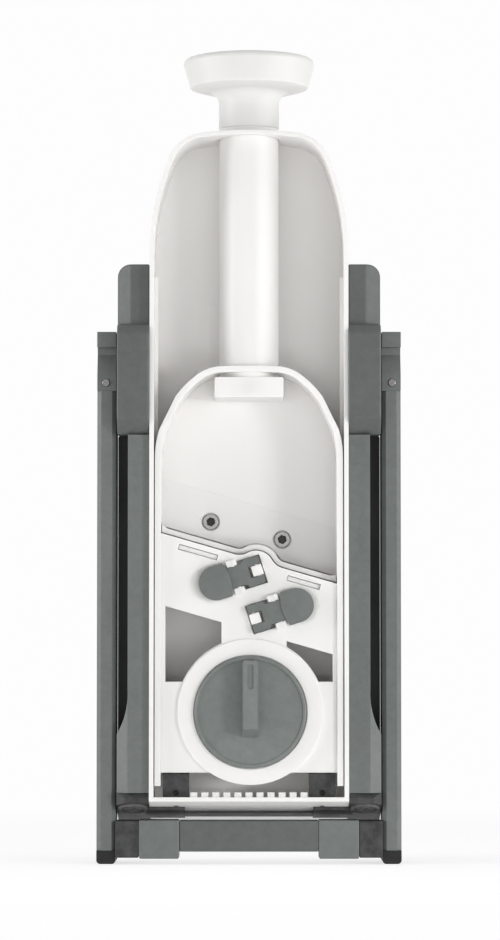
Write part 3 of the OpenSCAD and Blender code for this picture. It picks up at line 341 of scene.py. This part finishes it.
def eased(node, width):
    """Stands for a node: the same solid with its sharp edges rounded, as a mould leaves them."""
    bm = bmesh.new()
    bm.from_mesh(nodes[node].data)
    bmesh.ops.remove_doubles(bm, verts=bm.verts, dist=weld_distance)
    bmesh.ops.dissolve_limit(bm, angle_limit=flat_angle, verts=bm.verts, edges=bm.edges)
    if node in hollow_faced:
        bmesh.ops.connect_verts_concave(bm, faces=bm.faces)
    mesh = bpy.data.meshes.new(node + "_eased")
    bm.to_mesh(mesh)
    bm.free()
    if "custom_normal" in mesh.attributes:
        mesh.attributes.remove(mesh.attributes["custom_normal"])
    mesh.polygons.foreach_set("use_smooth", [True] * len(mesh.polygons))
    mesh.materials.clear()
    mesh.materials.append(finish_of(node))
    # Faces that lie in shade get the darker material: painted shade.
    if node in painted_shade_faces:
        material, covers = painted_shade_faces[node]
        mesh.materials.append(material)
        for face in mesh.polygons:
            face.material_index = int(covers(face))
    piece = bpy.data.objects.new(node + "_eased", mesh)
    scene.collection.objects.link(piece)
    bevel = piece.modifiers.new("edges", "BEVEL")
    bevel.width = width
    bevel.segments = edge_segments
    bevel.limit_method = "ANGLE"
    bevel.angle_limit = sharp_angle
    bevel.miter_outer = "MITER_ARC"
    shade = piece.modifiers.new("shade", "WEIGHTED_NORMAL")
    shade.keep_sharp = False
    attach(piece, body_of_node[node])
    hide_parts(node)


edge_width = {
    "body_shell": 0.0006,
    "feed_chute": 0.0005,
    "carriage_shell": 0.0005,
    "adjuster_plate": 0.0004,
    **dict.fromkeys(both("side_rail"), 0.0008),
    **dict.fromkeys(both("hinge_bracket"), 0.0010),
    **dict.fromkeys(both("corner_foot"), 0.0008),
    **dict.fromkeys(both("bumper"), 0.0007),
    **dict.fromkeys(both("leg_hinge_end"), 0.0008),
    **dict.fromkeys(both("leg_tube"), 0.0006),
    "crossbar": 0.0010,
    **dict.fromkeys(both("crossbar_sleeve"), 0.0008),
    **dict.fromkeys(both("grip_pad"), 0.0010),
    **dict.fromkeys(both("leg_cap"), 0.0008),
    "rod_clip": 0.0005,
    "thickness_knob": 0.0008,
    "wide_lever": 0.0006,
    "fine_lever": 0.0006,
    "wide_comb_carrier": 0.0003,
    "fine_comb_carrier": 0.0003,
    "food_pusher": 0.0005,
    "handle_knob": 0.0008,
    "blade_screws": 0.0003,
    "foot_pads": 0.0004,
    "leg_buttons": 0.0006,
    "hinge_pins": 0.0004,
    "base_strip": 0.0002,
}
for name, width in edge_width.items():
    eased(name, width)


# Stage

paper_tone = 0.985
room_light = 0.20
floor_reach = 6.0
shadow_radius = 0.12  # the floor takes the slicer's shadow within this distance of its middle
paper_radius = 0.7  # and is plain background from here on


def seen_directly(tree):
    """1 for rays that should meet the plain white background, 0 for the rays that only carry light."""
    path = tree.nodes.new("ShaderNodeLightPath")
    total = path.outputs["Is Camera Ray"]
    for name in ("Is Glossy Ray", "Is Transmission Ray"):
        more = tree.nodes.new("ShaderNodeMath")
        more.operation = "MAXIMUM"
        tree.links.new(total, more.inputs[0])
        tree.links.new(path.outputs[name], more.inputs[1])
        total = more.outputs[0]
    return total


def toned(tree, kind, tone):
    """A shader of one grey tone."""
    made = tree.nodes.new(kind)
    made.inputs["Color"].default_value = (tone, tone, tone, 1.0)
    return made.outputs[0]


def joined(tree, kind, first, second, fac=None):
    """Two shaders added up, or mixed by fac."""
    made = tree.nodes.new(kind)
    sockets = [i for i in made.inputs if i.type == "SHADER"]
    tree.links.new(first, sockets[0])
    tree.links.new(second, sockets[1])
    if fac:
        tree.links.new(fac, made.inputs["Fac"])
    return made.outputs[0]


def glowing_sheet(tree, reflects, glows):
    """A matt sheet that also gives off light of its own."""
    return joined(tree, "ShaderNodeAddShader", toned(tree, "ShaderNodeBsdfDiffuse", reflects),
                  toned(tree, "ShaderNodeEmission", glows))


def far_out(tree):
    """0 near the slicer, 1 where the floor has run into the background."""
    spot = tree.nodes.new("ShaderNodeVectorMath")
    spot.operation = "LENGTH"
    tree.links.new(tree.nodes.new("ShaderNodeTexCoord").outputs["Object"], spot.inputs[0])
    far = tree.nodes.new("ShaderNodeMapRange")
    far.interpolation_type = "SMOOTHSTEP"
    far.inputs["From Min"].default_value = shadow_radius
    far.inputs["From Max"].default_value = paper_radius
    tree.links.new(spot.outputs["Value"], far.inputs["Value"])
    return far.outputs["Result"]


def room():
    """A dim, even room that lights the slicer, and white paper where the background is seen."""
    world = bpy.data.worlds.new("studio")
    world.use_nodes = True
    tree = world.node_tree
    light = tree.nodes["Background"]
    light.inputs["Color"].default_value = (1.0, 1.0, 1.0, 1.0)
    light.inputs["Strength"].default_value = room_light
    paper = toned(tree, "ShaderNodeBackground", paper_tone)
    surface = joined(tree, "ShaderNodeMixShader", light.outputs[0], paper, seen_directly(tree))
    tree.links.new(surface, tree.nodes["World Output"].inputs["Surface"])
    return world


def floor_paper():
    """Takes the slicer's shadow near it, runs into the background further out, and lights it from below."""
    sheet = bpy.data.materials.new("floor")
    sheet.use_nodes = True
    tree = sheet.node_tree
    tree.nodes.remove(tree.nodes["Principled BSDF"])
    near = glowing_sheet(tree, reflects=0.52, glows=0.69)
    paper = toned(tree, "ShaderNodeEmission", paper_tone)
    look = joined(tree, "ShaderNodeMixShader", near, paper, far_out(tree))
    bounce = glowing_sheet(tree, reflects=0.25, glows=0.72)
    surface = joined(tree, "ShaderNodeMixShader", bounce, look, seen_directly(tree))
    tree.links.new(surface, tree.nodes["Material Output"].inputs["Surface"])
    return sheet


def area_light(name, place, aim_height, size, power, mirrored=True):
    """A soft lamp aimed at a height on the slicer's axis.

    A lamp that isn't mirrored gives its light, but glossy surfaces don't show it.
    """
    data = bpy.data.lights.new(name, "AREA")
    data.shape = "RECTANGLE"
    data.size, data.size_y = size
    data.energy = power
    lamp = aimed(name, data, place, target=(0.0, 0.0, aim_height))
    lamp.visible_glossy = mirrored


scene.world = room()
floor_mesh = bpy.data.meshes.new("floor")
corners = [(x * floor_reach, y * floor_reach, 0.0) for x, y in ((-1, -1), (1, -1), (1, 1), (-1, 1))]
floor_mesh.from_pydata(corners, [], [(0, 1, 2, 3)])
floor_mesh.materials.append(floor_paper())
floor = bpy.data.objects.new("floor", floor_mesh)
scene.collection.objects.link(floor)

area_light("front", (-0.75, -2.0, 0.16), aim_height=0.16, size=(0.8, 0.26), power=2.2, mirrored=False)
area_light("key", (1.15, -1.15, 0.20), aim_height=0.16, size=(0.35, 0.25), power=7.2)
area_light("kicker", (0.2, -0.7, 0.015), aim_height=0.06, size=(0.8, 0.02), power=1.0, mirrored=False)
area_light("overhead", (0.0, 0.0, 1.5), aim_height=0.2, size=(1.2, 1.0), power=5.0, mirrored=False)
area_light("left_strip", (-1.2, -0.32, 0.20), aim_height=0.15, size=(0.3, 0.8), power=8.5)
area_light("right_strip", (1.2, -0.32, 0.20), aim_height=0.15, size=(0.3, 0.8), power=4.5)

bpy.context.view_layer.update()
